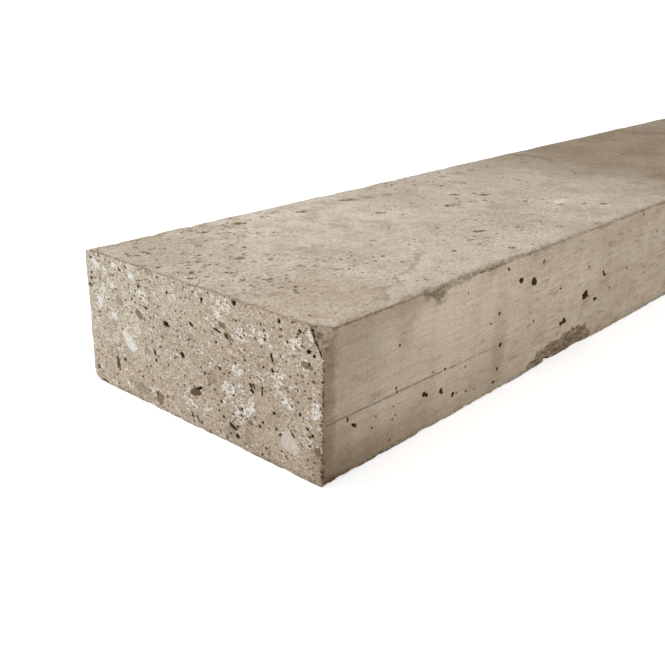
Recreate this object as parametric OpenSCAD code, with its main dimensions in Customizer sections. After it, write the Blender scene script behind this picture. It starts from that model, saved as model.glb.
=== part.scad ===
// Prestressed concrete lintel: one long-line cast length, sawn to size.
// Lying as it beds on a wall: underside on z = 0, length along Y, width along X.
// The origin is the middle of the underside. The near end is the one at -Y.

/* [Lintel] */
// Length the lintel is sawn to
lintel_length = 900; // [600:50:3000]
// Width of the section, which is the thickness of the wall it carries
lintel_width = 150; // [100:5:300]
// Depth of the section, one brick course less its joint
lintel_depth = 65; // [65:5:220]

/* [Moulded arrises] */
// Radius left by the mould's fillet along the underside's left arris
fillet_arris_r = 5; // [1:0.5:12]
// Radius of the underside's right arris, where the mould closes
closed_arris_r = 1; // [0.5:0.5:5]
// Radius of both top arrises, rubbed over after the top is floated
floated_arris_r = 1.5; // [0.5:0.5:5]

/* [Broken corner] */
// How far the break runs across the top edge of the near end
corner_across = 8; // [4:0.5:20]
// How far the break runs along the right top arris
corner_along = 7; // [4:0.5:20]
// How far the break runs down the near end's right arris
corner_down = 12; // [4:0.5:24]
// Half the chord over which the break's surface bows into the concrete
corner_bow = 20; // [20:1:60]

/* [Spalled arrises] */
// How far a spall cuts into the underside, as a share of its height up the side
underside_share = 0.2; // [0.1:0.05:0.9]
// How far a spall cuts into the top, as a share of its height down the side
top_share = 0.5; // [0.2:0.05:0.9]

/* [Blowholes] */
// Depth of a blowhole, as a share of the width of its mouth
blowhole_depth_share = 0.45; // [0.2:0.05:0.45]
// Size of every blowhole, as a multiple of the sizes listed below
blowhole_scale = 1; // [0.5:0.1:1.5]

/* [Hidden] */
$fn = 64;

concrete = [0.71, 0.65, 0.57];
near_end = -lintel_length / 2;
right_face = lintel_width / 2;

// How far a cutting corner piece stands out past the faces it rounds
overrun = 1;

// Spalls on the right lower arris: [middle from the near end, length, height up the side]
lower_spalls = [[158, 16, 5], [175, 32, 9], [190, 24, 8], [203, 32, 10]];
// Spalls on the right top arris: [middle from the near end, length, height down the side]
top_spalls = [[68, 16, 5], [90, 44, 4], [126, 40, 3], [150, 14, 3]];

// Blowholes in the right side, where trapped air rose against the mould:
// [from the near end, below the top, width of the mouth]. Two that overlap are one
// void where two bubbles met.
blowholes = [
    [158, 8, 2.5],
    [136.5, 12.5, 2], [138, 13.5, 2.5],
    [149.5, 16, 4], [151.5, 17, 2.5],
    [120.5, 25, 2],
    [207.5, 37, 5], [205.5, 38, 3],
    [123.5, 41.5, 2.5],
    [218.5, 42, 2], [220, 42.5, 2],
    [185.5, 46, 3.5], [183, 47, 2.5],
    [64, 47, 2.5], [66, 48, 2],
    [76.5, 49.5, 2.5],
    [122.5, 53.5, 2],
    [86, 54.5, 2.5],
];

// Removes the corner of a section outside a quarter circle of radius r that touches
// both faces. The corner is at the origin and the concrete lies towards +X and +Y.
module rounded_off(r) {
    difference() {
        translate([-overrun, -overrun]) square(r + overrun);
        translate([r, r]) circle(r);
    }
}

// The cross-section in the X-Z plane, drawn as X-Y, with its four moulded arrises.
module section() {
    difference() {
        translate([-right_face, 0]) square([lintel_width, lintel_depth]);
        translate([-right_face, 0]) rounded_off(fillet_arris_r);
        translate([right_face, 0]) mirror([1, 0]) rounded_off(closed_arris_r);
        for (side = [0, 1]) mirror([side, 0])
            translate([right_face, lintel_depth]) rotate(180) rounded_off(floated_arris_r);
    }
}

// The concrete as cast and sawn, before it is damaged.
module cast_length() {
    translate([0, lintel_length / 2, 0]) rotate([90, 0, 0])
        linear_extrude(lintel_length) section();
}

// A conchoidal break is a shallow spherical flake. One that leaves an edge or a corner
// at a distance `reach` from it, along a face, has its centre this far off that face.
// `bow` is half the chord of the flake through the edge or the corner.
function flake_offset(reach, bow) = (bow * bow - reach * reach) / (2 * reach);

// The ball that strikes such a flake off the corner at the origin. The concrete lies
// towards -X, +Y and -Z, and reach is how far the break runs along each of them.
module corner_flake(reach, bow) {
    off = [for (r = reach) flake_offset(r, bow)];
    translate([off.x, -off.y, off.z]) sphere(sqrt(bow * bow + off * off));
}

// The ball that strikes a flake off an arris lying along Y. The break is `along` long,
// centred at the origin, and runs `inward` towards -X and `down` towards -Z.
module arris_flake(along, inward, down) {
    bow = along / 2;
    off = [flake_offset(inward, bow), 0, flake_offset(down, bow)];
    translate(off) sphere(sqrt(bow * bow + off * off));
}

module broken_corner() {
    translate([right_face, near_end, lintel_depth])
        corner_flake([corner_across, corner_along, corner_down], corner_bow);
}

module spalls() {
    for (s = top_spalls)
        translate([right_face, near_end + s[0], lintel_depth])
            arris_flake(s[1], s[2] * top_share, s[2]);
    for (s = lower_spalls)
        translate([right_face, near_end + s[0], 0]) mirror([0, 0, 1])
            arris_flake(s[1], s[2] * underside_share, s[2]);
}

// The bubble that leaves a mouth of the given width in the face x = 0 of concrete that
// lies towards -X.
module bubble(mouth) {
    depth = mouth * blowhole_depth_share;
    r = (mouth * mouth / 4 + depth * depth) / (2 * depth);
    translate([r - depth, 0, 0]) sphere(r);
}

module side_blowholes() {
    for (b = blowholes)
        translate([right_face, near_end + b[0], lintel_depth - b[1]])
            bubble(b[2] * blowhole_scale);
}

module lintel() {
    color(concrete) difference() {
        cast_length();
        broken_corner();
        spalls();
        side_blowholes();
    }
}

lintel();
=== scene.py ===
"""How the lintel looks: fine relief cut into the CAD solid's surface, three concrete finishes, and the
studio. Places on it are in mm from its near left lower corner: across, along and up."""

import math

import bpy
import numpy as np
from mathutils import Matrix, Vector
from mathutils.bvhtree import BVHTree
from mathutils.kdtree import KDTree


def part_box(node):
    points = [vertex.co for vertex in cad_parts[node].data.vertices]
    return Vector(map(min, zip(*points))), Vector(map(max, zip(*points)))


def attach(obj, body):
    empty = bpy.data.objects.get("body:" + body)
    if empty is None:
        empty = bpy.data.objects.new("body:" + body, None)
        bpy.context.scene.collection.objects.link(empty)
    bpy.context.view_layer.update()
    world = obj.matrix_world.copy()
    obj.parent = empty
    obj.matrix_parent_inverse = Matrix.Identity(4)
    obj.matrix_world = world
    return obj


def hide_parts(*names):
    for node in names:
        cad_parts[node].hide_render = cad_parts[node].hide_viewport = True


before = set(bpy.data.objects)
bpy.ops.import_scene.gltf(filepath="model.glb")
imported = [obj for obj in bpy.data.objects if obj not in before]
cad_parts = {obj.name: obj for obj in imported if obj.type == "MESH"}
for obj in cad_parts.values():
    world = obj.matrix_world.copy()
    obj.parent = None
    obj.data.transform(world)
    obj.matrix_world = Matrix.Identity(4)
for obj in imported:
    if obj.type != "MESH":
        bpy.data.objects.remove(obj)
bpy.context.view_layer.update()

MM = 0.001
low, high = (np.array(corner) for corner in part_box("lintel"))
SIZE = (high - low) / MM
WIDTH, LENGTH, DEPTH = SIZE
ACROSS, ALONG, UP = range(3)
# A point this close to a face of the box is on it.
ON_FACE = 1e-6

# ---------- camera

# The camera stands this far right, back and up of the near right lower corner, in metres.
CAMERA_FROM_CORNER = Vector((0.2002, -0.2203, 0.1802))
# Degrees that it turns left of +Y, looks down, and leans.
CAMERA_LEFT, CAMERA_DOWN, CAMERA_LEAN = 41.69, 21.27, 0.92
# Its focal length and its sensor's width, in mm.
CAMERA_LENS, CAMERA_SENSOR = 48.34, 36.0


def make_camera():
    data = bpy.data.cameras.new("camera")
    data.lens = CAMERA_LENS
    data.sensor_width = CAMERA_SENSOR
    data.clip_start = 0.01
    data.clip_end = 50.0
    camera = bpy.data.objects.new("camera", data)
    corner = Vector((high[ACROSS], low[ALONG], low[UP]))
    camera.matrix_world = (
        Matrix.Translation(corner + CAMERA_FROM_CORNER)
        @ Matrix.Rotation(math.radians(CAMERA_LEFT), 4, "Z")
        @ Matrix.Rotation(math.radians(90 - CAMERA_DOWN), 4, "X")
        @ Matrix.Rotation(math.radians(CAMERA_LEAN), 4, "Z")
    )
    bpy.context.scene.collection.objects.link(camera)
    bpy.context.scene.camera = camera


# ---------- noise

# Whole numbers that mix the bits of others well, and shifts for them.
MIX = np.array([2654435761, 2246822519, 3266489917], np.uint32)
SEED_MIX = 668265263
STIR = ((15, 739982445), (12, 695872825), (15, 1))


def random_at(cells, seed):
    """A fixed random number from 0 to 1 for each cell."""
    mixed = cells.astype(np.int64).astype(np.uint32) * MIX
    h = mixed[:, 0] ^ mixed[:, 1] ^ mixed[:, 2] ^ np.uint32(seed * SEED_MIX % 2**32)
    for shift, factor in STIR:
        h = (h ^ (h >> np.uint32(shift))) * np.uint32(factor)
    return h / 2.0**32


def smooth_noise(p, seed):
    """Noise from -1 to 1 in features 1 across."""
    cell = np.floor(p)
    t = p - cell
    t = t * t * (3 - 2 * t)
    total = np.zeros(len(p))
    for corner in np.ndindex(2, 2, 2):
        weight = np.prod(np.where(corner, t, 1 - t), axis=1)
        total += weight * random_at(cell + corner, seed)
    return 2 * total - 1


def fractal(p, size, seed, octaves):
    """Noise of features `size` mm across, and finer ones, each half as strong."""
    return sum(smooth_noise(p * 2**n / size, seed + n) / 2**n for n in range(octaves))


def fade(x, start, end):
    """0 up to start, 1 from end on."""
    t = np.clip((x - start) / (end - start), 0, 1)
    return t * t * (3 - 2 * t)


# ---------- marks on the faces

# Each mark is its place on its face, its width and height in mm, and its tilt in degrees.
# Voids that the saw opened in the near end: [across, up, ...].
END_VOIDS = [
    [57.5, 43.2, 2.8, 2.6, 0], [59.5, 42.7, 2.4, 1.2, -10], [79, 19.5, 4, 1.6, 25], [100, 8.3, 5, 2, -20],
    [102.3, 4.7, 2.6, 3, 20], [73.5, 4.5, 1.4, 4, 30], [76.8, 4.3, 1.4, 4, 35], [91.5, 49, 6, 1.5, -15],
    [97, 48, 3, 1.5, -50], [68, 31.5, 2.6, 2.6, 0], [74.7, 47.3, 3.2, 1.5, -35],
    [122.8, 46.4, 1.8, 3.6, 15], [90.5, 43.8, 1.6, 1.6, 0], [142.4, 54.5, 2.8, 1.9, 0],
    [110.5, 31, 3, 1.7, -45], [111.5, 28.6, 2.4, 2, -40], [117.4, 30.4, 1.1, 4, 0],
    [134.4, 17, 3.4, 1.2, -40], [48.8, 27, 1.8, 3, 15], [49.5, 23.6, 1.6, 1.8, 0],
    [26, 60.7, 2.8, 1.6, -30], [3.6, 51.8, 2.6, 1.8, 10], [1.8, 48.3, 3, 1.4, 0], [3.4, 7, 1.8, 2.8, 10],
    [44, 46.8, 3.4, 1, -10], [82, 60.3, 1.6, 2, 0], [59.6, 58, 1.5, 1.7, 0], [25.6, 17, 2, 1.6, -20],
    [93.8, 11, 1.6, 1.4, 0], [119.2, 5.6, 1.8, 1.5, -30], [142, 22.5, 2.6, 1.1, -35],
    [82.4, 27.4, 1.4, 2.8, 0], [103, 56.5, 1.4, 1.4, 0], [138, 61.5, 1.6, 1.6, 0], [8, 0.6, 5, 1.6, 0],
    [102, 63.9, 2.6, 2.2, 0], [131, 5.5, 1.5, 1, 0], [144.8, 61.8, 3.4, 0.8, -60],
    [146.5, 58.6, 3.8, 0.8, -58], [148.5, 55.2, 3.4, 0.9, -62],
]
# Stones in the near end, with their colour.
PALE, WHITE, GREY = (0.7, 0.63, 0.54), (0.88, 0.85, 0.79), (0.385, 0.315, 0.24)
TAN, BROWN = (0.262, 0.2, 0.138), (0.118, 0.077, 0.043)
END_STONES = [
    ([30.9, 27.4, 12, 7.4, -34], WHITE), ([19.8, 26.4, 6, 6.6, 0], PALE), ([132.6, 13.5, 9, 10.5, 20], PALE),
    ([34.4, 59.9, 5.2, 3.6, -15], WHITE), ([14.6, 58, 2.8, 5, 20], WHITE), ([21.6, 61.9, 3.8, 2.8, 0], WHITE),
    ([39, 42.6, 7, 3.6, -25], TAN), ([20.3, 13.8, 2.8, 7.4, 8], BROWN), ([75.9, 16.6, 8.6, 4, 12], BROWN),
    ([87.2, 27, 8, 8, 0], GREY), ([94.5, 52.3, 4.6, 3.2, -25], TAN), ([98.3, 48.6, 5.4, 2.6, -50], TAN),
    ([142, 48.8, 6.2, 3.4, -10], TAN), ([114.8, 31, 5.4, 3.6, 0], GREY), ([125.6, 23.4, 3.5, 3.4, 0], GREY),
    ([110.6, 14.2, 3.4, 2.6, 0], TAN), ([109, 7.2, 6.2, 7, -20], GREY), ([96.4, 5.4, 6.4, 6.2, 0], GREY),
    ([50.6, 6, 6.4, 6.8, 0], TAN), ([37, 6.4, 9.6, 5.2, -15], GREY), ([147.4, 14.6, 4, 5, 0], TAN),
    ([43.5, 26.3, 6, 4, 0], GREY), ([75, 41.5, 6, 3.2, 0], GREY), ([24.6, 45.5, 6, 5, -30], GREY),
    ([7.6, 60, 3.2, 3.2, 0], WHITE), ([19.6, 51.8, 3.8, 3, 20], WHITE), ([12.8, 48.5, 2.8, 3.6, 0], WHITE),
    ([9.2, 42.3, 4.4, 3, 10], WHITE), ([19.4, 37.2, 4.4, 3, 15], WHITE), ([28, 50.5, 3, 2.4, 0], PALE),
]
# Clusters of white grains in the near end.
END_SUGAR = [
    [103.3, 35.2, 7, 6, 0], [97, 25, 10, 6, -10], [109.5, 20.5, 11, 5, 45], [125.7, 39.3, 7, 6, 0],
    [130.3, 31, 9, 5, -30], [95.3, 60.5, 9, 5, 0], [72, 10.5, 9, 4, -15], [134.5, 54.7, 10, 5, 20],
    [144.5, 61.3, 6, 4, 0], [146.2, 31.3, 5, 7, 0], [92, 56.3, 7, 4, -20], [7.8, 59.7, 6, 5, 0],
    [11.2, 48, 5, 6, 0], [9.5, 42, 6, 6, 0], [18.7, 37, 8, 5, 0], [62.8, 57.2, 5, 7, 0],
    [42, 52, 6, 5, 0], [105.3, 51.3, 6, 6, 0], [118, 54, 7, 5, 30],
    [5.5, 31, 5, 4, 0], [27.8, 4.7, 5, 3, 0], [9.5, 25.5, 5, 2.5, 0], [36, 35, 5, 4, 0],
]
# Small voids in the right side beside the solid's blowholes: [along, up, ...].
SIDE_VOIDS = [
    [44.2, 27.4, 1.2, 1.5, 0], [45, 25.6, 1.1, 1.4, 0], [14.2, 24.2, 1, 2.2, 10], [18.4, 20.2, 3.4, 1.3, -35],
    [29.2, 15, 1.2, 1.1, 0], [42.5, 13.8, 1, 1, 0], [44.6, 15.2, 1.1, 0.9, 0], [43, 19.7, 1, 0.9, 0],
    [31.7, 19.2, 0.9, 0.9, 0], [45.5, 46, 1.4, 1, 0], [78.7, 25.2, 1.8, 1.3, 0], [70, 26.3, 1.3, 1, 0],
    [94.7, 21.3, 1.4, 1, 0], [96.7, 8.5, 2, 1, -15], [103.3, 7.3, 1.6, 0.9, 0], [113.7, 36.7, 1.5, 0.9, 0],
    [93, 56.7, 1.1, 1, 0], [125.3, 60.5, 2.8, 1.4, -35], [178, 38.5, 2.4, 1, -10], [228, 34.6, 3.4, 1.6, -30],
    [41.3, 4.7, 1.3, 0.9, 0], [153.4, 27.4, 1.2, 2.4, 20], [119.6, 5.4, 3, 1.6, 0], [208, 43.4, 2.2, 1, 0],
    [209.6, 26.9, 3, 1.6, -20], [204.6, 28.6, 2.6, 1.2, 30], [186.8, 18.2, 3, 1.5, -10],
    [181.6, 18.6, 2, 1.4, 20], [151.2, 47.2, 2.6, 1.6, 0], [138.6, 52.4, 2.8, 1.2, -35],
    [65.8, 16.9, 2.4, 1.3, -30], [77.3, 14.4, 2, 1.4, -50], [220.8, 22.4, 3, 1, -10],
    [226, 36.6, 2.6, 1.4, -35], [89, 10.2, 1.6, 0.9, 0], [17.6, 20.6, 3.4, 1, -40],
]
# Where the right side's arrises are broken away: [along, up, ...].
SIDE_BREAKS = [
    [157, 1.6, 13, 6, 0], [166, 3, 14, 10, 10], [176, 3.6, 24, 13, 0], [190, 4.4, 26, 12, 0],
    [203, 4.2, 26, 13, 0], [213, 1.6, 12, 8, 0], [66, 64, 9, 6, 0], [71.5, 62.6, 9, 7, 0], [86, 65, 26, 4, 0],
    [120, 65.6, 40, 2.4, 0], [150, 65.4, 16, 2, 0],
]
# Small notches in the top left arris: place along it, and reach either way.
NOTCHES = [(16, 3), (38, 4), (61, 6), (197, 12), (228, 5), (283, 9)]
# The larger shallow pits in the top: [across, along, ...].
TOP_PITS = [
    [51.7, 153, 3, 6, -30], [54.3, 220, 3.6, 7, -25], [66.7, 232, 4, 7, -20], [111.7, 158, 3, 7, -25],
    [123.3, 119.3, 2.6, 2.8, 0], [15.7, 83, 3.4, 7, -30], [20, 123.5, 3.4, 6, -30], [17.7, 162, 4, 9, -35],
    [61.7, 40, 3, 5, -20], [85, 106.7, 2.4, 3.4, -20], [128.3, 263, 3, 6, -20], [120, 255, 2, 4, -20],
    [16, 58, 3, 4, 0], [93, 28, 1.6, 4, -10], [74, 22, 1.6, 5, -30], [118, 141, 1.8, 5, -25],
]
# Brown smudges on the top: across, along, half width and half length.
SMUDGES = [
    (20, 166, 4, 5), (22, 177, 5, 6), (26, 190, 4, 6), (17, 259, 4, 4), (18, 276, 5, 7), (18, 291, 4, 5),
    (28, 343, 5, 8), (14, 81, 4, 5), (69, 197, 5, 6), (147, 217, 3, 5),
]
# A pale one.
PALE_SMUDGE = (107, 250, 4, 9)
# How far outside the nearest mark a place with none near it is said to be, in mm.
CLEAR = 9.0
# Round marks are a little squared. A power of 2 would make ellipses.
SQUARED = 2.4


def scattered(count, seed, area, least, widest, stretch, clump=0.3):
    """Random marks in an area of a face, most of them small, each up to `stretch` times as high as wide.
    They gather in clumps, as strongly as `clump` says from 0 to 1."""
    tried, clump_size, tilt = 4 * count, 24, 40
    rng = np.random.default_rng(seed)
    place = rng.random((tried, 2)) * area
    crowd = clump * fractal(np.column_stack([place, place[:, 0] * 0]), clump_size, seed, 2)
    place = place[np.argsort(crowd + (1 - clump) * rng.random(tried))[-count:]]
    wide = least + (widest - least) * rng.random(count) ** 4
    tall = wide * (1 + (stretch - 1) * rng.random(count))
    return np.column_stack([place, wide, tall, tilt * rng.standard_normal(count)])


def nearest_mark(place, marks, ragged, sides=0):
    """How far each place on a face is outside the nearest mark's outline, in mm, negative inside it, and
    that mark's number. `ragged` is noise that makes the outlines uneven. They are round, or polygons
    where a number of sides is given."""
    margin = 1.5
    distance = np.full(len(place), CLEAR)
    number = np.zeros(len(place), int)
    turns, reaches = np.random.default_rng(5).uniform(0.72, 1.12, (2, len(marks), sides))
    for n, (first, second, width, height, tilt) in enumerate(marks):
        off = place - (first, second)
        near = np.flatnonzero((np.abs(off) < max(width, height) + margin).all(axis=1))
        c, s = math.cos(math.radians(tilt)), math.sin(math.radians(tilt))
        local = off[near] @ np.array([[c, -s], [s, c]]) * (2 / width, 2 / height)
        if sides:
            turn = (np.arange(sides) + turns[n]) * math.tau / sides
            radius = (local @ np.array([np.cos(turn), np.sin(turn)]) / reaches[n]).max(axis=1)
        else:
            radius = (np.abs(local) ** SQUARED).sum(axis=1) ** (1 / SQUARED)
        out = (radius * (1 + 0.3 * ragged[near]) - 1) * min(width, height) / 2
        nearer = out < distance[near]
        distance[near[nearer]] = out[nearer]
        number[near[nearer]] = n
    return distance, number


FAR_PITS = scattered(200, 11, (WIDTH, LENGTH), 1.1, 3.6, 1.8, 0.6)
NEAR_PITS = scattered(120, 12, (WIDTH, 0.3 * LENGTH), 1.1, 2.5, 1.7, 0.75)
END_PITS = scattered(110, 18, (0.8 * WIDTH, 0.13 * LENGTH), 1.0, 1.9, 1.6, 0.8)
SIDE_PITS = scattered(170, 13, (LENGTH, DEPTH), 0.7, 2.6, 1.5)
LEFT_PITS = scattered(170, 14, (LENGTH, DEPTH), 0.7, 3.6, 1.5)
UNDER_PITS = scattered(200, 15, (WIDTH, LENGTH), 0.7, 3.6, 1.5)
NEAR_PORES = scattered(130, 16, (WIDTH, DEPTH), 0.8, 1.8, 1.2)
FAR_VOIDS = scattered(120, 17, (WIDTH, DEPTH), 0.7, 3.2, 2.0)
TOP_MARKS = np.concatenate([TOP_PITS, NEAR_PITS, END_PITS, FAR_PITS])
# No pit lies this near the top's right arris, and no chance pit this near the end along the side.
BARE_STRIP, BARE_LENGTH = 5, 235
TOP_MARKS = TOP_MARKS[TOP_MARKS[:, 0] < WIDTH - BARE_STRIP]
SIDE_MARKS = np.concatenate([SIDE_VOIDS, SIDE_PITS[SIDE_PITS[:, 0] > BARE_LENGTH]])
END_MARKS = np.concatenate([END_VOIDS, NEAR_PORES])

# ---------- relief


def solid_trees(solid):
    """The solid's faces as a tree to cast rays at, and its corners as one to search."""
    corners = [v.co / MM - Vector(low / MM) for v in solid.vertices]
    nearest = KDTree(len(corners))
    for n, corner in enumerate(corners):
        nearest.insert(corner, n)
    nearest.balance()
    return BVHTree.FromPolygons(corners, [p.vertices for p in solid.polygons]), nearest


CAD_SURFACE, CAD_DETAIL = solid_trees(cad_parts["lintel"].data)
# The relief is cut along rays that start on the box and run to the middle, this deep under its faces.
RAY_DEPTH = 14.0
# How far a spall runs from its arris, and the slope at which a cut stops being part of one.
SPALL_REACH, SPALL_SLOPE = 11, 0.22
# How far from an arris a cut is always the arris's own, and the rounding that is no damage.
ARRIS_REACH = 4
ROUNDED_REACH, ROUNDED = 1.6, 0.45
# How far the top left arris's waves reach, how long they are, where one starts, and how deep a notch is.
WAVE_REACH, WAVE_LENGTH, WAVE_START = 7, 210, 140
NOTCH_DEPTH = 0.6
# How far the trowel's groove is from the arris, how far it reaches either way, and how deep.
LIP_PLACE, LIP_WIDTH, LIP_DEPTH = 2.1, 0.7, 0.3
# Where the chip in the right top arris ends along it, and where the near corner's break does.
CHIP_END, CORNER_END = 79, 12


def solid_under(q):
    """Where the ray from each point q of the box meets the CAD solid, and its direction."""
    ray = np.clip(q, RAY_DEPTH, SIZE - RAY_DEPTH) - q
    ray /= np.linalg.norm(ray, axis=1, keepdims=True)
    start = q - ray
    hits = [CAD_SURFACE.ray_cast(Vector(s), Vector(r))[0] or s for s, r in zip(start, ray)]
    return np.array(hits).reshape(-1, 3), ray


def worn_arrises(depth, q, arris, ragged, chip):
    """The depth with the arrises worn: raggedness and small bites, most on the sawn arrises and least on
    the upright ones, and waves and notches along the top left one."""
    across, along, up = q.T
    upright = np.minimum(up, DEPTH - up) > arris + ON_FACE
    sawn = np.minimum(along, LENGTH - along) <= arris + ON_FACE
    foot = (up < ARRIS_REACH) & (np.minimum(WIDTH - across, along) < ARRIS_REACH)
    waves = np.where(upright, 0.1, np.where(foot, 0.2, 0.45))
    depth = depth + np.clip(1 - arris / ARRIS_REACH, 0, 1) * np.clip(ragged, 0, 1) * waves
    top_left = np.clip(1 - np.hypot(across, DEPTH - up) / WAVE_REACH, 0, 1)
    wave = 0.1 - 0.15 * np.cos((along - WAVE_START) * math.tau / WAVE_LENGTH)
    for place, reach in NOTCHES:
        wave += NOTCH_DEPTH * np.clip(1 - np.abs(along - place) / reach, 0, 1)
    depth = depth + top_left * np.clip(wave + 0.35 * fractal(q, 30, 19, 2), 0, 1.0)
    bite = np.clip(1 - arris / (1.0 + 0.8 * np.clip(chip, 0, 1)), 0, 1)
    bitten = np.where(upright, 0.2, np.where(foot, 0.5, np.where(sawn, 0.9, 0.4)))
    return depth + bite * np.clip(chip + 0.1, 0, 1) * bitten


def break_side(depth, broken, q, right, top, ragged, chip):
    """Puts the breaks of the right side's arrises into the depth and the broken share."""
    rows = np.flatnonzero(right | (top & (WIDTH - q[:, ACROSS] < ARRIS_REACH)))
    across, along, up = q[rows].T
    # The top's strip by the arris takes the breaks as if it were folded up into the side.
    folded = q[rows][:, (ALONG, UP)] + [0, 1] * (WIDTH - across[:, None]) * 1.6
    out, _ = nearest_mark(folded, SIDE_BREAKS, (ragged + chip)[rows] * 0.8)
    upper = up > DEPTH / 2
    worn = np.where(upper, np.where(along > CHIP_END, 0.28, 0.66), 1.0)
    rim = np.where(upper, fade(-out, -2.0, 1.4), fade(-out, -0.7, 0.9))
    patch = np.maximum(broken[rows] * fade(2.2 - out, 0, 1.6), rim) * worn
    broken[rows] = np.where(along < CORNER_END, broken[rows], patch)
    depth[rows] += 0.25 * fade(-out, 0, 0.9)


def cad_cuts(cut, arris, fine):
    """How broken the surface is, and how far outside a blowhole. A cut in the solid is a spall near an
    arris, and a blowhole elsewhere."""
    flaked = (arris < ARRIS_REACH) | (cut < SPALL_SLOPE * (SPALL_REACH - arris))
    spalled = fade(cut - ROUNDED * (arris < ROUNDED_REACH), 0.05, 0.5)
    broken = np.where(flaked & (arris < SPALL_REACH), spalled, 0)
    void = np.where(flaked | (cut < 0.02), CLEAR, -1.5 * cut)
    return broken, void + 0.5 * np.abs(fine) * (void < 0)


def sink_marks(depth, void, q, faces, uneven):
    """Sinks each face's marks into the depth, and puts how far outside them points are into void."""
    left, near, under, right, far, top = faces
    # Each face, its two axes, its marks, how deep they are at most, and their sides.
    for mask, axes, marks, deepest, sides in (
        (top, (ACROSS, ALONG), TOP_MARKS, 0.45, 0),
        (right, (ALONG, UP), SIDE_MARKS, 1.6, 0),
        (left, (ALONG, UP), LEFT_PITS, 1.8, 0),
        (under, (ACROSS, ALONG), UNDER_PITS, 1.2, 0),
        (near, (ACROSS, UP), END_MARKS, 2.2, 5),
        (far, (ACROSS, UP), FAR_VOIDS, 2.2, 5),
    ):
        rows = np.flatnonzero(mask)
        out, _ = nearest_mark(q[rows][:, axes], marks, uneven[rows], sides)
        depth[rows] += np.clip(-out * 2.5, 0, deepest)
        void[rows] = np.minimum(void[rows], out)


def near_end_grains(q, near, uneven):
    """How far each point is outside the near end's stones and clusters, and the stones' numbers."""
    stone = np.full(len(q), CLEAR)
    sugar = np.full(len(q), CLEAR)
    number = np.zeros(len(q), int)
    place = q[near][:, (ACROSS, UP)]
    stone[near], number[near] = nearest_mark(place, [s for s, _ in END_STONES], 0.5 * uneven[near], 6)
    sugar[near], _ = nearest_mark(place, END_SUGAR, uneven[near])
    return stone, sugar, number


def surface(q):
    """The lintel's surface under points q of its box, and what the finishes read there: how many mm
    outside a void, a stone and a cluster of grains it is, the stone's number, and how broken it is."""
    hits, ray = solid_under(q)
    walls = np.concatenate([q, SIZE - q], axis=1)
    arris = np.sort(walls, axis=1)[:, 1]
    faces = (walls < ON_FACE).T
    _, near, under, right, far, top = faces

    slow = fractal(q, 60, 1, 2)
    ragged = fractal(q, 14, 3, 3)
    chip = fractal(q, 3.4, 6, 3)
    fine = fractal(q, 1.6, 9, 2)
    uneven = 0.4 * chip + 0.6 * fine
    broken, void = cad_cuts(np.abs(hits - q).max(axis=1), arris, fine)

    depth = 0.12 + 0.12 * slow
    depth = np.where(top, 0.08 + 0.12 * slow + 0.05 * chip, depth)
    depth = np.where(near | far, 0.06 + 0.05 * chip, np.where(under, 0, depth))
    depth = worn_arrises(depth, q, arris, ragged, chip)
    # The lip that the trowel left along the top's near and right arrises.
    lip = np.abs(np.minimum(WIDTH - q[:, ACROSS], q[:, ALONG] + 0.8) - LIP_PLACE - 0.4 * ragged)
    depth += np.where(top, LIP_DEPTH * np.clip(1 - lip / LIP_WIDTH, 0, 1), 0)
    break_side(depth, broken, q, right, top, ragged, chip)
    depth += broken * (0.45 + 0.35 * chip + 0.15 * fine)
    sink_marks(depth, void, q, faces, uneven)
    values = np.column_stack([void, *near_end_grains(q, near, uneven), broken])
    return hits + ray * np.maximum(depth, 0)[:, None], values


# ---------- mesh

# The first triangles' spacing in mm, and how many times their edges may be halved.
LATTICE = 6.0
ROUNDS = 6
# Makes one number of an edge's two point numbers.
EDGE_KEY = 2**32


def box_lattice():
    """The box's faces as a lattice of triangles, whose diagonals alternate, as halving wants."""
    counts = np.round(SIZE / LATTICE / 2).astype(int) * 2
    quads = []
    for axis in range(3):
        a, b = (axis + 1) % 3, (axis + 2) % 3
        i, j = (g.ravel() for g in np.meshgrid(range(counts[a]), range(counts[b]), indexing="ij"))
        # The low and the high side, and the order of corners that faces out.
        rings = (0, ((0, 0), (0, 1), (1, 1), (1, 0))), (counts[axis], ((0, 0), (1, 0), (1, 1), (0, 1)))
        for side, ring in rings:
            quad = np.zeros((len(i), 4, 3), int)
            quad[:, :, axis] = side
            for n, (di, dj) in enumerate(ring):
                quad[:, n, a] = i + di
                quad[:, n, b] = j + dj
            odd = (i + j) % 2 == 1
            quad[odd] = np.roll(quad[odd], 1, axis=1)
            quads.append(quad)
    corners, index = np.unique(np.concatenate(quads).reshape(-1, 3), axis=0, return_inverse=True)
    index = index.reshape(-1, 4)
    return corners / counts * SIZE, np.concatenate([index[:, [0, 1, 2]], index[:, [0, 2, 3]]])


def too_coarse(q, values, end_values, spacing):
    """Which edges to halve, from their middles q and the surface there and at their ends. The mesh is
    coarser far from the near end, on the hidden faces and on the top."""
    away = fade(q[:, ALONG], 0.25 * LENGTH, 0.5 * LENGTH)
    hidden = (q[:, UP] < ON_FACE) | (q[:, ACROSS] < ON_FACE)
    on_top = q[:, UP] > DEPTH - ON_FACE
    finest = 0.45 + 1.2 * away + 1.0 * hidden + 0.2 * on_top
    allowed = 0.1 + 0.15 * away + 0.15 * hidden + 0.05 * on_top
    error = np.linalg.norm(values[0] - end_values[0].mean(axis=1), axis=1)
    outline = np.abs(values[1][:, :2]).min(axis=1) < spacing / 2
    cad_detail = np.array([CAD_DETAIL.find(point)[2] for point in q]) < spacing / 2
    return (spacing > finest) & ((error > allowed) | outline | cad_detail)


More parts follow.
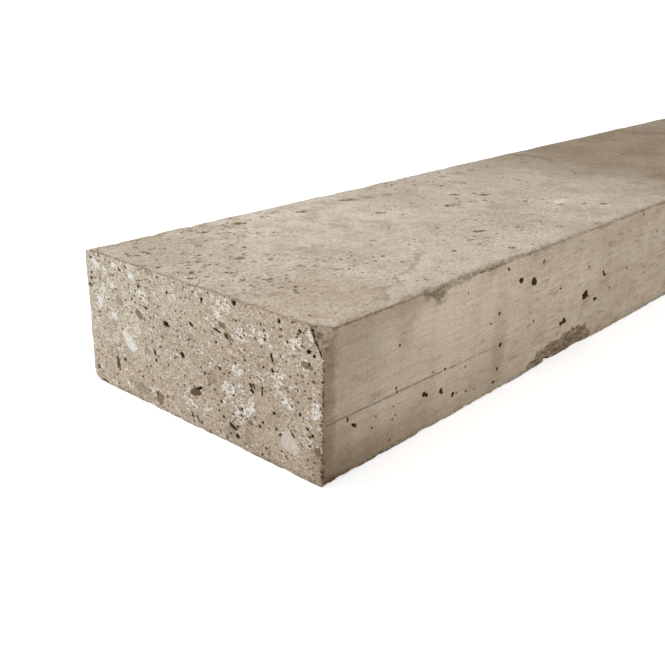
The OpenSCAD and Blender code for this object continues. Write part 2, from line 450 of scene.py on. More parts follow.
def halve(points, triangles, surfaced, settled):
    """Halves every edge that is too coarse, and with it the longest edge of each triangle beside it, so
    that the triangles stay well shaped. Returns the mesh, and the edges that need no more halving."""
    ends = np.sort(triangles[:, [1, 2, 2, 0, 0, 1]].reshape(-1, 3, 2), axis=2)
    keys, edge_of = np.unique(ends[..., 0] * EDGE_KEY + ends[..., 1], return_inverse=True)
    edge_of = edge_of.reshape(-1, 3)
    ends = np.column_stack([keys // EDGE_KEY, keys % EDGE_KEY])
    middle = points[ends].mean(axis=1)
    spacing = np.linalg.norm(points[ends[:, 0]] - points[ends[:, 1]], axis=1)
    split = np.zeros(len(keys), bool)
    asked = np.flatnonzero(~np.isin(keys, settled))
    end_values = [values[ends[asked]] for values in surfaced]
    split[asked] = too_coarse(middle[asked], surface(middle[asked]), end_values, spacing[asked])
    settled = keys[~split]

    longest = np.argmax(spacing[edge_of], axis=1)
    long_edge = np.take_along_axis(edge_of, longest[:, None], 1)[:, 0]
    while True:
        open_ = split[edge_of].any(axis=1) & ~split[long_edge]
        if not open_.any():
            break
        split[long_edge[open_]] = True

    middle_of = np.full(len(keys), -1)
    middle_of[split] = len(points) + np.arange(split.sum())
    turn = (longest[:, None] + np.arange(3)) % 3
    v0, v1, v2 = np.take_along_axis(triangles, turn, 1).T
    m0, m1, m2 = middle_of[np.take_along_axis(edge_of, turn, 1)].T
    pieces = [np.column_stack([v0, v1, v2])[m0 < 0]]
    for whole, *halves in (
        ((m0 >= 0) & (m2 < 0), (v0, v1, m0)),
        ((m0 >= 0) & (m2 >= 0), (v0, m2, m0), (m2, v1, m0)),
        ((m0 >= 0) & (m1 < 0), (v0, m0, v2)),
        ((m0 >= 0) & (m1 >= 0), (v0, m0, m1), (m1, m0, v2)),
    ):
        for corners in halves:
            pieces.append(np.column_stack(corners)[whole])
    surfaced = [np.concatenate(pair) for pair in zip(surfaced, surface(middle[split]))]
    return np.concatenate([points, middle[split]]), np.concatenate(pieces), surfaced, settled


SAWN, MOULDED, FLOATED = range(3)
# The finishes read no value past these, so that each fades out within one edge of the mesh.
READ_UP_TO = (0.4, 1.0, 1.0, 99, 1.0)


def give_values(mesh, values):
    """Keeps the values on the mesh for the finishes to read."""
    values = np.minimum(values, READ_UP_TO)
    for name, column in (("void", 0), ("stone", 1), ("sugar", 2), ("broken", 4)):
        mesh.attributes.new(name, "FLOAT", "POINT").data.foreach_set("value", values[:, column])
    colours = np.array([(*colour, 1) for _, colour in END_STONES])[values[:, 3].astype(int)]
    mesh.attributes.new("stone_colour", "FLOAT_COLOR", "POINT").data.foreach_set("color", colours.ravel())


def make_lintel():
    points, triangles = box_lattice()
    surfaced = surface(points)
    settled = np.zeros(0, int)
    for _ in range(ROUNDS):
        points, triangles, surfaced, settled = halve(points, triangles, surfaced, settled)
    place, values = surfaced
    mesh = bpy.data.meshes.new("lintel_concrete")
    mesh.from_pydata((place * MM + low).tolist(), [], triangles.tolist())
    mesh.update()
    give_values(mesh, values)
    middles = points[triangles].mean(axis=1)
    finish = np.where(middles[:, UP] > DEPTH - 1e-3, FLOATED, MOULDED).astype(np.int32)
    finish[(middles[:, ALONG] < 1e-3) | (middles[:, ALONG] > LENGTH - 1e-3)] = SAWN
    mesh.polygons.foreach_set("material_index", finish)
    mesh.shade_smooth()
    lintel = bpy.data.objects.new("lintel_concrete", mesh)
    bpy.context.scene.collection.objects.link(lintel)
    return lintel


# ---------- finishes

# How far a pattern's seed moves it along each axis, in features.
SEED_STEP = (7.31, 3.77, 5.13)
# How much of a change of brightness the red, green and blue take.
SHADE_SHARES = (0.87, 1.0, 1.18)
# Broken concrete, from dark to pale, and the rim of a break.
RUBBLE, RIM = ((0.1, 0.066, 0.036), (0.38, 0.29, 0.195)), (0.085, 0.058, 0.036)


class Nodes:
    """Puts shader nodes into a tree and joins them up."""

    def __init__(self, tree):
        self.tree = tree

    def node(self, kind, *inputs, **settings):
        """A node with its settings, and its enabled inputs filled in order."""
        node = self.tree.nodes.new(kind)
        for name, value in settings.items():
            setattr(node, name, value)
        for socket, value in zip([s for s in node.inputs if s.enabled], inputs):
            self.fill(socket, value)
        return node

    def fill(self, socket, value):
        """Gives a socket another socket's value, or a constant."""
        if isinstance(value, bpy.types.NodeSocket):
            self.tree.links.new(value, socket)
        else:
            colour = socket.type == "RGBA" and len(value) == 3
            socket.default_value = (*value, 1) if colour else value

    def put(self, kind, *inputs, **settings):
        """The first output of such a node."""
        return next(s for s in self.node(kind, *inputs, **settings).outputs if s.enabled)

    def maths(self, operation, *values):
        """The operation on the first two values, then on that and the next, and so on."""
        total = values[0]
        for value in values[1:]:
            total = self.put("ShaderNodeMath", total, value, operation=operation)
        return total

    def vector(self, operation, *inputs):
        return self.put("ShaderNodeVectorMath", *inputs, operation=operation)

    def plus(self, *values):
        return self.maths("ADD", *values)

    def minus(self, first, second):
        return self.maths("SUBTRACT", first, second)

    def times(self, *values):
        return self.maths("MULTIPLY", *values)

    def most(self, *values):
        return self.maths("MAXIMUM", *values)

    def ramp(self, value, start, end, first=0.0, last=1.0):
        """Smoothly from first where the value is start to last where it is end."""
        return self.put("ShaderNodeMapRange", value, start, end, first, last, interpolation_type="SMOOTHSTEP")

    def fall(self, value, start, end):
        """Smoothly from 1 where the value is start to 0 where it is end."""
        return self.ramp(value, start, end, 1, 0)


class Finish(Nodes):
    """A concrete finish. Its patterns run through places in mm, and its colour is laid on in layers."""

    def __init__(self, name):
        self.material = bpy.data.materials.new(name)
        self.material.use_nodes = True
        super().__init__(self.material.node_tree)
        self.tree.nodes.clear()
        metres = self.node("ShaderNodeTexCoord").outputs["Object"]
        self.place = self.vector("MULTIPLY", self.vector("ADD", metres, tuple(-low)), (1 / MM,) * 3)
        self.x, self.y, self.z = self.node("ShaderNodeSeparateXYZ", self.place).outputs
        self.colour = None

    def attribute(self, name, output="Fac"):
        return self.node("ShaderNodeAttribute", attribute_name=name).outputs[output]

    def scaled(self, size, seed, stretch):
        """The place in features of the given size, stretched along the axes and moved by the seed."""
        over = tuple(1 / (size * s) for s in stretch)
        moved = tuple(seed * step for step in SEED_STEP)
        return self.vector("MULTIPLY_ADD", self.place, over, moved)

    def noise(self, size, seed, stretch=(1, 1, 1), detail=3.0, rough=0.6):
        """Noise about 0.5 with features `size` mm across."""
        return self.put("ShaderNodeTexNoise", self.scaled(size, seed, stretch), 1.0, detail, rough)

    def around(self, noise, reach):
        """Noise about 0.5 made to run about 0, over `reach` in all."""
        return self.times(self.minus(noise, 0.5), reach)

    def swayed(self, value, reach, *pattern, **settings):
        """The value plus such noise about 0."""
        return self.plus(value, self.around(self.noise(*pattern, **settings), reach))

    def cells(self, size, seed, stretch=(1, 1, 1)):
        """Grains `size` mm apart: how far off each one's middle is, in grains, and three random numbers."""
        node = self.node("ShaderNodeTexVoronoi", self.scaled(size, seed, stretch), 1.0)
        return node.outputs["Distance"], self.node("ShaderNodeSeparateColor", node.outputs["Color"]).outputs

    def spots(self, size, seed, share, radius, stretch=(1, 1, 1), ragged=0.0):
        """1 in the spots that a share of the cells hold, as uneven as `ragged` says, and 0 outside."""
        distance, (chance, spread, _) = self.cells(size, seed, stretch)
        held = self.maths("LESS_THAN", chance, share)
        edge = self.times(self.ramp(spread, 0, 1, 0.55, 1.0), radius / size)
        off = self.maths("DIVIDE", distance, edge)
        if ragged:
            off = self.swayed(off, ragged, radius, seed + 100, stretch)
        return self.times(held, self.fall(off, 0.75, 1.15))

    def patch(self, across, along, wide, long):
        """1 in the middle of an uneven patch of the top, and 0 outside."""
        dx = self.times(self.minus(self.x, across), 1 / wide)
        dy = self.times(self.minus(self.y, along), 1 / long)
        off = self.plus(self.times(dx, dx), self.times(dy, dy))
        return self.fall(self.swayed(off, 2.4, 2.5, along, detail=4.0, rough=0.7), -0.1, 1.1)

    def band(self, value, middle, half, soft):
        """1 within half of the middle, and 0 from `soft` further off."""
        off = self.put("ShaderNodeMath", self.minus(value, middle), operation="ABSOLUTE")
        return self.fall(off, half, half + soft)

    def crumbs(self):
        """Crumbs of dirt, which run on round an arris."""
        return self.ramp(self.noise(1.7, 16, rough=0.7), 0.46, 0.56)

    def blend(self, factor, first, second):
        node = self.node("ShaderNodeMix", data_type="RGBA")
        for n, value in ((0, factor), (6, first), (7, second)):
            self.fill(node.inputs[n], value)
        return node.outputs[2]

    def shade(self, colour, factor):
        """The colour at a multiple of its brightness, the darker the warmer."""
        rest = tuple(1 - share for share in SHADE_SHARES)
        return self.vector("MULTIPLY", colour, self.vector("MULTIPLY_ADD", factor, SHADE_SHARES, rest))

    def tone(self, factor):
        self.colour = self.shade(self.colour, factor)

    def lay(self, paint, *shares):
        """Lays paint over the colour, at the product of the shares."""
        self.colour = self.blend(self.times(*shares), self.colour, paint)

    def tint(self, factors, *shares):
        """Multiplies the colour by the factors, at the product of the shares."""
        self.lay(self.vector("MULTIPLY", self.colour, factors), *shares)

    def lay_breaks(self, seed, share=0.92, rim=0.45):
        """Lays rough darker concrete in the breaks, paler in the near corner and fainter in the upper
        half, and a broken dark rim round them."""
        drawn = (1, 2.2, 1)
        broken = self.ramp(self.swayed(self.attribute("broken"), 1.3, 1.4, seed, drawn, 3.0, 0.7), 0.25, 0.85)
        rubble = self.blend(self.ramp(self.noise(1.2, seed + 1, drawn, 4.0, 0.8), 0.36, 0.62), *RUBBLE)
        rubble = self.shade(rubble, self.ramp(self.noise(4, seed + 3, drawn), 0.42, 0.6, 1.2, 0.72))
        corner = self.times(self.fall(self.y, 9, 12), self.ramp(self.z, DEPTH - 17, DEPTH - 14))
        rubble = self.shade(rubble, self.ramp(corner, 0, 1, 1.0, 1.2))
        faint = self.ramp(self.z, DEPTH / 2, DEPTH / 2 + 8, 1, 0.84)
        self.lay(rubble, broken, share, faint)
        dots = self.ramp(self.noise(2.0, seed + 2, drawn), 0.42, 0.56)
        self.lay(RIM, self.band(self.attribute("broken"), 0.42, 0.12, 0.35), dots, rim, faint)

    def done(self, height, deep, rough=0.9):
        """Joins it up, with bumps `deep` mm high for heights from 0 to 1."""
        bump = self.node("ShaderNodeBump")
        shader = self.node("ShaderNodeBsdfPrincipled")
        output = self.node("ShaderNodeOutputMaterial")
        for socket, value in (
            (bump.inputs["Distance"], deep * MM), (bump.inputs["Height"], height),
            (shader.inputs["Base Color"], self.colour), (shader.inputs["Normal"], bump.outputs["Normal"]),
            (shader.inputs["Roughness"], rough), (shader.inputs["Specular IOR Level"], 0.05),
            (output.inputs["Surface"], shader.outputs["BSDF"]),
        ):
            self.fill(socket, value)
        return self.material


# Colours of the darkest places; the first two are dark dirt with the shade of voids and pits painted in. All
# colours are in linear light.
HOLE_DIRT_AND_SHADE, PIT_DIRT_AND_SHADE, SPECK = (0.052, 0.022, 0.002), (0.195, 0.12, 0.058), (0.13, 0.09, 0.06)
CRUMBS, GRIT = (0.06, 0.038, 0.022), (0.07, 0.045, 0.025)

# The sawn end's grains are wider than high. Where a colour is two, they are its darkest and palest.
WIDE = (1.35, 1, 1)
PASTE, PASTE_PALE = ((0.505, 0.412, 0.316), (0.565, 0.471, 0.366)), (0.63, 0.55, 0.45)
# How much painted light brightens the end towards the top left.
PAINTED_TOP_LEFT_LIGHT = (1.13, 1.19, 1.24)
STONES, STONES_WARM = ((0.34, 0.28, 0.215), (0.56, 0.49, 0.4)), (0.42, 0.33, 0.235)
SUGAR = (0.71, 0.65, 0.565), (0.95, 0.93, 0.88)
PORES = (0.066, 0.031, 0.007), (0.19, 0.115, 0.056)


def sand_and_paste(f):
    """Cut sand in paste, with painted light that makes it paler towards the left and the top left.
    Returns two random numbers of the grains.
    """
    f.colour = f.blend(f.ramp(f.noise(16, 1), 0.35, 0.65), *PASTE)
    f.lay(PASTE_PALE, f.ramp(f.noise(3, 2, WIDE), 0.45, 0.7, 0, 0.2))
    # Painted light: paler towards the left, nearer the lamp.
    f.tone(f.ramp(f.x, 0, WIDTH, 1.06, 0.99))
    # Painted light: paler still towards the top left.
    f.tint(PAINTED_TOP_LEFT_LIGHT, f.fall(f.x, 25, 95), f.ramp(f.z, 10, 50))
    _, (grain, _, grain_dark) = f.cells(0.85, 3, WIDE)
    f.tone(f.ramp(grain, 0, 1, 0.86, 1.15))
    _, (speck, _, _) = f.cells(0.5, 4, WIDE)
    f.tone(f.ramp(speck, 0, 1, 0.76, 1.17))
    return grain, grain_dark


def chance_stones(f):
    """Stones, where a share of coarse cells hold one."""
    distance, (chance, tone, warmth) = f.cells(6.5, 5)
    outside = f.minus(f.swayed(distance, 0.35, 2.5, 6), f.ramp(tone, 0, 1, 0.22, 0.42))
    colour = f.blend(warmth, f.blend(tone, *STONES), STONES_WARM)
    colour = f.shade(colour, f.ramp(f.noise(0.9, 7, WIDE, rough=0.7), 0.3, 0.7, 0.74, 1.2))
    f.lay(colour, f.maths("LESS_THAN", chance, 0.26), f.fall(outside, -0.08, 0.05), 0.55)


def white_grains(f):
    """White grains, thick in the clusters and thin elsewhere."""
    cluster = f.most(
        f.fall(f.swayed(f.attribute("sugar"), 2.4, 2.5, 19, WIDE), -0.8, 0.9),
        f.ramp(f.noise(7, 8, WIDE, detail=2.0), 0.55, 0.67, 0, 0.6),
    )
    _, (chance, tone, _) = f.cells(0.75, 9, WIDE)
    f.lay(f.blend(tone, *SUGAR), f.maths("LESS_THAN", chance, f.ramp(cluster, 0, 1, 0.03, 0.62)), 0.9)


def placed_stones(f):
    """The stones that have their own places, the dark ones mottled. Returns where they are."""
    placed = f.fall(f.swayed(f.attribute("stone"), 0.8, 1.2, 21, WIDE), -0.22, 0.14)
    stone = f.attribute("stone_colour", "Color")
    blue = f.node("ShaderNodeSeparateColor", stone).outputs["Blue"]
    stone = f.shade(stone, f.ramp(f.noise(1.3, 17, WIDE, rough=0.8), 0.34, 0.66, 0.82, 1.12))
    mottled = f.shade(stone, f.ramp(f.noise(2.8, 22, WIDE, rough=0.75), 0.38, 0.62, 0.7, 1.16))
    stone = f.blend(f.fall(blue, 0.3, 0.6), stone, mottled)
    f.lay(stone, placed, f.most(f.ramp(blue, 0.14, 0.24, 0.92, 0.76), f.ramp(blue, 0.3, 0.6, 0.76, 0.92)))
    return placed


def cut_pores(f, placed):
    """Where the pores are: fewer in the placed stones, in cleaner patches and at the left."""
    pores = f.most(
        f.spots(1.5, 11, 0.5, 0.37, WIDE), f.spots(2.4, 10, 0.55, 0.5, WIDE, 0.8),
        f.spots(4.0, 15, 0.6, 0.75, WIDE, 1.6), f.spots(7.5, 12, 0.5, 1.1, WIDE, 2.2),
    )
    cleaner = f.ramp(f.noise(18, 18, detail=2.0), 0.33, 0.5, 0.4, 1)
    return f.times(pores, cleaner, f.ramp(placed, 0, 1, 1, 0.2), f.ramp(f.x, 15, 60, 0.9, 1))


def sawn_darkening_and_dirt(f):
    """Darker by the lower right corner, and dirt down the upright arris and under the top."""
    darker_area = f.times(f.ramp(f.x, 137, 150), f.fall(f.z, 8, 34))
    f.tone(f.ramp(darker_area, 0, 1, 1, 0.72))
    side_arris = f.fall(f.minus(WIDTH, f.x), 0.3, f.ramp(f.z, 6, 20, 2.1, 1.1))
    top_arris = f.times(f.fall(f.minus(DEPTH, f.z), 0.2, 0.9), 0.35)
    f.lay(CRUMBS, f.most(side_arris, top_arris), f.crumbs(), 0.88)


def sawn_finish():
    """The sawn end: sand and cut stones in paste, with clusters of white grains, pores and voids."""
    f = Finish("concrete_sawn")
    grain, grain_dark = sand_and_paste(f)
    chance_stones(f)
    white_grains(f)
    pores = cut_pores(f, placed_stones(f))
    # The pores, dark brown with their painted shade.
    f.lay(f.blend(grain_dark, *PORES), pores, 0.88)
    f.lay_breaks(14, rim=0.9)
    sawn_darkening_and_dirt(f)
    void = f.fall(f.attribute("void"), -0.28, 0.12)
    # Dark dirt and painted shade in the voids.
    f.lay(HOLE_DIRT_AND_SHADE, void, 0.95)
    return f.done(f.minus(f.times(grain, 0.3), f.most(pores, void)), 0.35)


# The moulded faces' colours.
MOULDED_BASE, MOULDED_PALE = ((0.54, 0.435, 0.323), (0.615, 0.507, 0.387)), (0.59, 0.513, 0.415)
# The last of these darkens damp bands and dirt, and paints shade low on the side.
SMEAR_DARK, SMEAR_PALE, DAMP_DIRT_AND_SHADE = (0.33, 0.252, 0.178), (0.64, 0.57, 0.475), (0.5, 0.465, 0.42)
SEAM, LINE = (0.2, 0.145, 0.097), (0.165, 0.11, 0.062)


def moulded_concrete(f):
    """Concrete off the mould, streaked along the length, with smears further along."""
    f.colour = f.blend(f.ramp(f.noise(22, 21, (3, 3, 1)), 0.3, 0.7), *MOULDED_BASE)
    f.lay(MOULDED_PALE, f.ramp(f.noise(9, 22, (2, 2, 1)), 0.5, 0.72, 0, 0.45))
    streak = f.ramp(f.noise(0.8, 23, (30, 30, 1), 4.0, 0.75), 0.3, 0.7, 0.9, 1.08)
    speckle = f.ramp(f.noise(0.55, 24, (2.6, 2.6, 1), 2.0, 0.8), 0.3, 0.7, 0.86, 1.13)
    upright = f.ramp(f.noise(11, 34, (1, 1, 9), 2.0), 0.3, 0.7, 0.93, 1.05)
    f.tone(f.times(streak, speckle, upright))
    f.tone(f.ramp(f.noise(6, 25, (2.5, 2.5, 1), 4.0, 0.65), 0.52, 0.72, 1.04, 0.82))
    smears = f.ramp(f.y, 105, 160, 0.25, 1)
    f.lay(SMEAR_DARK, f.ramp(f.noise(2.0, 38, (6, 6, 1)), 0.54, 0.68), smears, 0.6)
    f.lay(SMEAR_PALE, f.ramp(f.noise(3.2, 39, (5, 5, 1)), 0.53, 0.68), smears, 0.5)


def damp_dirt_and_painted_light(f, foot):
    """Darker under the top arris, by the near end, and in damp bands further along. Painted shade along the
    foot and low down by the near end, and a painted highlight high up in the middle.
    """
    ragged = f.around(f.noise(9, 26, (2, 2, 1)), 9)
    up = f.plus(f.z, ragged)
    back = f.plus(f.y, ragged)
    crust = f.ramp(f.noise(2.4, 27, (2.2, 2.2, 1), 5.0, 0.8), 0.4, 0.68)
    damp = f.times(f.band(back, 122, 3, 6), f.ramp(f.z, 8, 45, 1, 0.05))
    end_band = f.fall(f.swayed(f.swayed(f.y, 5, 5, 37), 6, 1.1, 42, rough=0.8), 4, 12)
    damp_foot = f.times(f.band(back, 136, 10, 10), f.fall(up, 5, 14))
    # Painted shade low on the side, strongest by the near end.
    low_painted_shade = f.times(f.fall(up, 3, 26), f.ramp(f.y, 10, 90, 1, 0.42), f.fall(f.y, 125, 160))
    # Damp bands and dirt, and painted shade along the foot and low down.
    f.tint(DAMP_DIRT_AND_SHADE, f.most(
        f.times(f.ramp(up, DEPTH - 7, DEPTH - 1), crust, f.ramp(f.y, 60, 210, 1, 0.35), 0.95),
        f.times(f.ramp(up, DEPTH - 15, DEPTH - 2), f.ramp(f.y, 50, 90, 1, 0.2), 0.5),
        f.times(f.fall(up, 1, 11), foot, 0.6), f.times(damp_foot, 0.42), f.times(low_painted_shade, 0.98),
        f.times(f.fall(back, 15, 60), 0.5), end_band, f.times(damp, 0.45),
        f.times(f.ramp(f.y, 190, 215), 0.08),
    ))
    # Painted shade in the lower corner by the near end.
    below_seam = f.times(f.fall(f.z, 18, 28), f.fall(f.y, 9, 22))
    corner = f.times(f.fall(f.z, 1, 8), f.fall(f.y, 2, 14))
    f.tone(f.times(f.ramp(below_seam, 0, 1, 1, 0.82), f.ramp(corner, 0, 1, 1, 0.62)))
    # A painted highlight high up in the middle of the side.
    upper = f.times(f.band(f.y, 96, 26, 22), f.ramp(f.z, 34, 54))
    f.tone(f.ramp(upper, 0, 1, 1, 1.1))


def mould_seam(f):
    """Where the seam left by the mould is, on the right side from the near end to where it dies out."""
    swayed = f.swayed(f.z, 1.1, 8, 33, detail=2.0)
    seam = f.band(swayed, f.ramp(f.y, 0, 160, 25.8, 23.4), 0.12, 0.5)
    kept = f.most(f.ramp(f.noise(5, 28), 0.33, 0.52, 0.25, 1), f.fall(f.y, 8, 18))
    seam = f.times(seam, kept, f.fall(f.y, 80, 150), f.ramp(f.y, 0.8, 2.5))
    return f.times(seam, f.maths("GREATER_THAN", f.x, WIDTH / 2))


def lip_and_crumbs(f, foot):
    """The dark line under the top's lip, grit in it, and crumbs down the near arris and on the foot."""
    below = f.minus(DEPTH, f.swayed(f.z, 1.2, 10, 35))
    below = f.swayed(below, 1.6, 1.5, 40, rough=0.7)
    line = f.band(below, f.ramp(f.y, 62, 84, 0.7, 1.1), 0.3, 0.7)
    uneven = f.ramp(f.noise(2.2, 36, detail=4.0), 0.36, 0.56, 0.35, 1)
    line = f.times(line, f.ramp(f.y, 108, 135, 1, 0.5), uneven)
    f.lay(LINE, line, f.ramp(f.y, 50, 74, 0.66, 0.78))
    f.lay(GRIT, line, f.ramp(f.noise(1.3, 69, rough=0.8), 0.51, 0.59), f.ramp(f.y, 60, 80, 0.3, 0.75))
    near_arris = f.ramp(f.y, 0.3, f.ramp(f.z, 6, 20, 2.6, 1.1), 0.85, 0)
    f.lay(CRUMBS, f.most(near_arris, f.times(f.ramp(f.z, 0.8, 3.6, 0.9, 0), foot)), f.crumbs())


def moulded_finish():
    """The sides and the underside from the mould: smooth, streaked, and darker at the edges."""
    f = Finish("concrete_moulded")
    foot = f.ramp(f.y, 30, 60, 1, 0.45)
    moulded_concrete(f)
    damp_dirt_and_painted_light(f, foot)
    seam = mould_seam(f)
    f.lay(SEAM, seam, 0.75)
    lip_and_crumbs(f, foot)
    specks = f.most(f.spots(9, 29, 0.5, 0.55, ragged=0.5), f.spots(4, 30, 0.25, 0.3, (1.6, 1.6, 1)))
    f.lay(SPECK, specks, 0.7)
    f.lay_breaks(31)
    void = f.fall(f.attribute("void"), -0.22, 0.15)
    # Dark dirt and painted shade in the voids.
    f.lay(HOLE_DIRT_AND_SHADE, void, 0.95)
    relief = f.times(f.noise(1.4, 32, (4, 4, 1), 4.0), 0.4)
    return f.done(f.minus(relief, f.most(f.times(specks, 0.6), f.times(seam, 0.9), void)), 0.25, 0.8)


# The floated top's colours.
FLOATED_BASE, FLOATED_PALE = ((0.583, 0.499, 0.405), (0.697, 0.618, 0.523)), (0.71, 0.64, 0.545)
BLOT, LARGE_BLOT = (0.43, 0.33, 0.235), (0.44, 0.33, 0.23)
PATCH_PALE, PATCH_WHITE = (0.8, 0.74, 0.65), (0.86, 0.82, 0.75)
TANNED, TIDE_LINE = (0.885, 0.835, 0.775), (0.36, 0.28, 0.198)
FAR_DARKER, FAR_BLOT, FAR_ARC = (0.6, 0.545, 0.485), (0.26, 0.2, 0.14), (0.24, 0.18, 0.125)
SMUDGE, CRUST, LIP = (0.35, 0.26, 0.17), (0.27, 0.195, 0.125), (0.14, 0.097, 0.062)
WORN, STAIN, SWARM = (0.76, 0.67, 0.56), (0.38, 0.285, 0.195), (0.245, 0.158, 0.085)


def floated_concrete(f):
    """Floated concrete, mottled and stippled across the trowel's strokes."""
    f.colour = f.blend(f.ramp(f.noise(38, 41), 0.3, 0.7), *FLOATED_BASE)
    f.lay(FLOATED_PALE, f.ramp(f.noise(12, 42), 0.48, 0.72, 0, 0.6))
    fine = f.ramp(f.noise(0.8, 43, (1, 3.5, 1), 4.0, 0.75), 0.28, 0.72, 0.72, 1.17)
    swirl = f.ramp(f.noise(4, 44, (1, 3, 1)), 0.3, 0.7, 0.93, 1.06)
    darker_area = f.times(f.fall(f.y, 40, 110), f.fall(f.x, 20, 80))
    f.tone(f.times(fine, swirl, f.ramp(darker_area, 0, 1, 1, 0.9)))


def near_stains(f):
    """Brown blots, one of them large, a pale patch, and by the right corner a tan one with a tide line."""
    f.lay(BLOT, f.ramp(f.noise(24, 45, detail=4.0), 0.54, 0.68), f.ramp(f.y, 150, 320, 0.6, 1.0), 0.5)
    f.lay(LARGE_BLOT, f.band(f.y, 72, 5, 12), f.band(f.x, 62, 10, 16), f.ramp(f.noise(9, 46), 0.4, 0.6), 0.6)
    pale = f.times(f.band(f.y, 110, 35, 55), f.ramp(f.x, 20, 110, 1, 0.35), f.ramp(f.noise(11, 61), 0.4, 0.6))
    f.lay(PATCH_PALE, pale, 0.65)
    sway = f.around(f.noise(15, 47, detail=2.0), 34)
    corner = f.times(f.ramp(f.plus(f.x, sway), 86, 112), f.fall(f.plus(f.y, sway), 50, 66))
    f.tint(TANNED, corner, f.ramp(f.noise(1.4, 62, rough=0.8), 0.4, 0.6, 0.5, 1), 0.85)
    tide = f.plus(f.x, f.times(f.y, 0.45), sway)
    reach = f.band(f.y, 72, 30, 10)
    f.lay(PATCH_PALE, f.band(tide, 166, 1.5, 5.0), reach, 0.25)
    f.lay(TIDE_LINE, f.band(tide, 161, 0.3, 2.8), reach, f.ramp(f.noise(5, 48, detail=4.0), 0.34, 0.56), 0.72)


def far_part(f):
    """The darker far part, a dark arc from the left near its start, and smudges before it."""
    start = f.ramp(f.swayed(f.y, 90, 60, 49), 255, 405)
    far = f.times(start, f.ramp(f.swayed(f.y, 160, 70, 63), 500, 780, 1, 0.6))
    f.tint(FAR_DARKER, far)
    f.lay(FAR_BLOT, far, f.ramp(f.noise(26, 50, (1.6, 1, 1)), 0.5, 0.68), 0.5)
    off = f.minus(f.x, 22)
    arc = f.band(f.plus(f.y, f.times(off, off, 0.03)), 371, 1.5, 7)
    f.lay(FAR_ARC, arc, f.ramp(f.x, 30, 55, 0.5, 0))
    f.lay(SMUDGE, f.most(*(f.patch(*smudge) for smudge in SMUDGES)), 0.75)
    f.lay(PATCH_WHITE, f.patch(*PALE_SMUDGE), 0.8)


def arris_dirt_and_groove(f):
    """Dirt along the arrises, a worn strip by the right one, and the trowel's groove darker. Returns
    where the groove is."""
    from_right = f.minus(WIDTH, f.x)
    arris = f.most(f.fall(f.maths("MINIMUM", from_right, f.y), 0.5, 3.5), f.ramp(f.x, 0.5, 6, 0.9, 0))
    lip = f.band(f.swayed(f.y, 1.2, 12, 57), 1.2, 0.3, 0.6)
    lip = f.times(lip, f.ramp(f.noise(1.8, 58, detail=4.0), 0.42, 0.58, 0.1, 1), f.ramp(f.x, 0, 30, 1, 0.75))
    f.lay(CRUST, arris, f.ramp(f.noise(2.2, 51, detail=5.0, rough=0.8), 0.42, 0.66), 0.7)
    worn = f.fall(f.swayed(from_right, 3, 6, 66, detail=4.0), 2.2, 4.8)
    uneven = f.ramp(f.noise(1.3, 67, rough=0.8), 0.38, 0.58, 0.45, 1.1)
    f.tint(WORN, worn, f.band(f.y, 88, 24, 24), uneven, 0.62)
    f.lay(LIP, lip, 0.66)
    return lip


def small_pits(f):
    """Where the small pits are, which gather in swarms."""
    near_end = f.times(f.fall(f.y, 25, 120), f.ramp(f.x, 90, 135, 0.9, 0.2))
    back = f.times(f.fall(f.x, 10, 32), f.ramp(f.y, 160, 230, 0.9, 0))
    right = f.times(f.band(f.y, 170, 28, 16), f.band(f.x, 112, 18, 12))
    swarm = f.times(f.most(near_end, back, right, 0.15), f.ramp(f.noise(13, 54), 0.4, 0.54, 0.15, 1.0))
    swarm = f.most(swarm, f.ramp(f.noise(17, 64), 0.56, 0.66, 0, 0.8))
    pits = f.most(
        f.spots(1.7, 59, 0.55, 0.5, ragged=2.0), f.spots(2.9, 52, 0.55, 0.85, ragged=2.8),
        f.spots(5.5, 53, 0.6, 1.5, ragged=3.4),
    )
    return f.times(pits, swarm, f.ramp(f.y, 60, 330, 1, 0.45))


def floated_finish():
    """The floated top: the palest, mottled and stippled, stained, with shallow pits."""
    f = Finish("concrete_floated")
    floated_concrete(f)
    near_stains(f)
    far_part(f)
    lip = arris_dirt_and_groove(f)
    pits = small_pits(f)
    # Small pits painted dark: brown dirt and their painted shade.
    f.lay(SWARM, pits, 0.8)
    f.lay_breaks(55, 0.42)
    # The larger pits, each with a stained rim, and brown dirt with painted shade in them.
    out = f.swayed(f.attribute("void"), 3.4, 1.1, 60, rough=0.8)
    f.lay(STAIN, f.ramp(out, -0.1, 0.45, 0.5, 0))
    void = f.fall(out, -0.5, 0.1)
    # Brown dirt and painted shade in the larger pits.
    f.lay(PIT_DIRT_AND_SHADE, void, 0.82)
    relief = f.times(f.noise(1.5, 56, detail=5.0, rough=0.7), 0.8)
    return f.done(f.minus(relief, f.times(f.most(pits, void, lip), 0.8)), 0.45)


# ---------- studio

# How bright the world is to the object, and how much the floor glows to the camera.
SKY, FLOOR_GLOW = 0.66, 0.5
# The floor's half width in metres, and how pale it is.
FLOOR_REACH, FLOOR_PALE = 40, 0.85
# Each lamp's name, place from the near end's top, width in metres and watts.
LAMPS = [("key", (-0.62, -0.46, 0.76), 0.7, 4.9), ("fill", (1.3, -0.3, 0.9), 1.2, 3.6)]


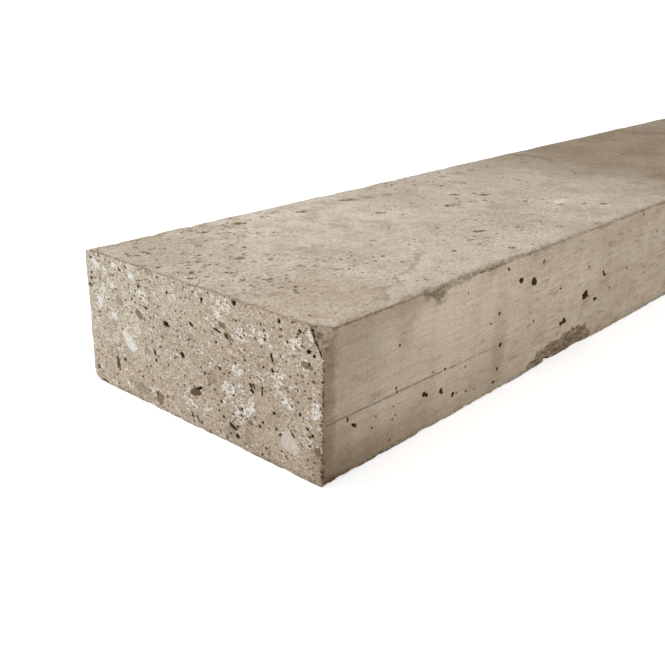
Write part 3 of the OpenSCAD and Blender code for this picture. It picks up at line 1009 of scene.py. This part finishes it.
def make_world(scene):
    """A world that lights the object softly, and that camera and reflections see as white."""
    scene.world = bpy.data.worlds.new("studio")
    scene.world.use_nodes = True
    nodes = Nodes(scene.world.node_tree)
    path = nodes.node("ShaderNodeLightPath").outputs
    seen = nodes.most(path["Is Camera Ray"], path["Is Glossy Ray"], path["Is Transmission Ray"])
    background = nodes.tree.nodes["Background"]
    nodes.fill(background.inputs["Color"], (1, 1, 1))
    nodes.fill(background.inputs["Strength"], nodes.put("ShaderNodeMapRange", seen, 0.0, 1.0, SKY, 1.0))


def make_floor(scene):
    """A pale floor that takes the object's shadow, and glows to the camera to show white."""
    mesh = bpy.data.meshes.new("floor")
    corners = [(x * FLOOR_REACH, y * FLOOR_REACH, low[UP]) for x, y in ((-1, -1), (1, -1), (1, 1), (-1, 1))]
    mesh.from_pydata(corners, [], [(0, 1, 2, 3)])
    floor = bpy.data.objects.new("floor", mesh)
    scene.collection.objects.link(floor)
    material = bpy.data.materials.new("floor")
    material.use_nodes = True
    nodes = Nodes(material.node_tree)
    glow = nodes.times(nodes.node("ShaderNodeLightPath").outputs["Is Camera Ray"], FLOOR_GLOW)
    shader = nodes.tree.nodes["Principled BSDF"]
    for name, value in (
        ("Base Color", (FLOOR_PALE,) * 3), ("Roughness", 1.0), ("Specular IOR Level", 0.0),
        ("Emission Color", (1, 1, 1)), ("Emission Strength", glow),
    ):
        nodes.fill(shader.inputs[name], value)
    mesh.materials.append(material)


def make_lamps(scene):
    """Soft round lamps that face the near end."""
    near_end = Vector(((low[ACROSS] + high[ACROSS]) / 2, low[ALONG], high[UP]))
    for name, away, size, watts in LAMPS:
        data = bpy.data.lights.new(name, "AREA")
        data.shape = "DISK"
        data.size = size
        data.energy = watts
        lamp = bpy.data.objects.new(name, data)
        lamp.location = near_end + Vector(away)
        lamp.rotation_euler = (-Vector(away)).to_track_quat("-Z", "Y").to_euler()
        scene.collection.objects.link(lamp)


scene = bpy.context.scene
scene.view_settings.view_transform = "Standard"
make_camera()
lintel = make_lintel()
for finish in (sawn_finish, moulded_finish, floated_finish):
    lintel.data.materials.append(finish())
make_world(scene)
make_floor(scene)
make_lamps(scene)
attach(lintel, "root")
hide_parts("lintel")
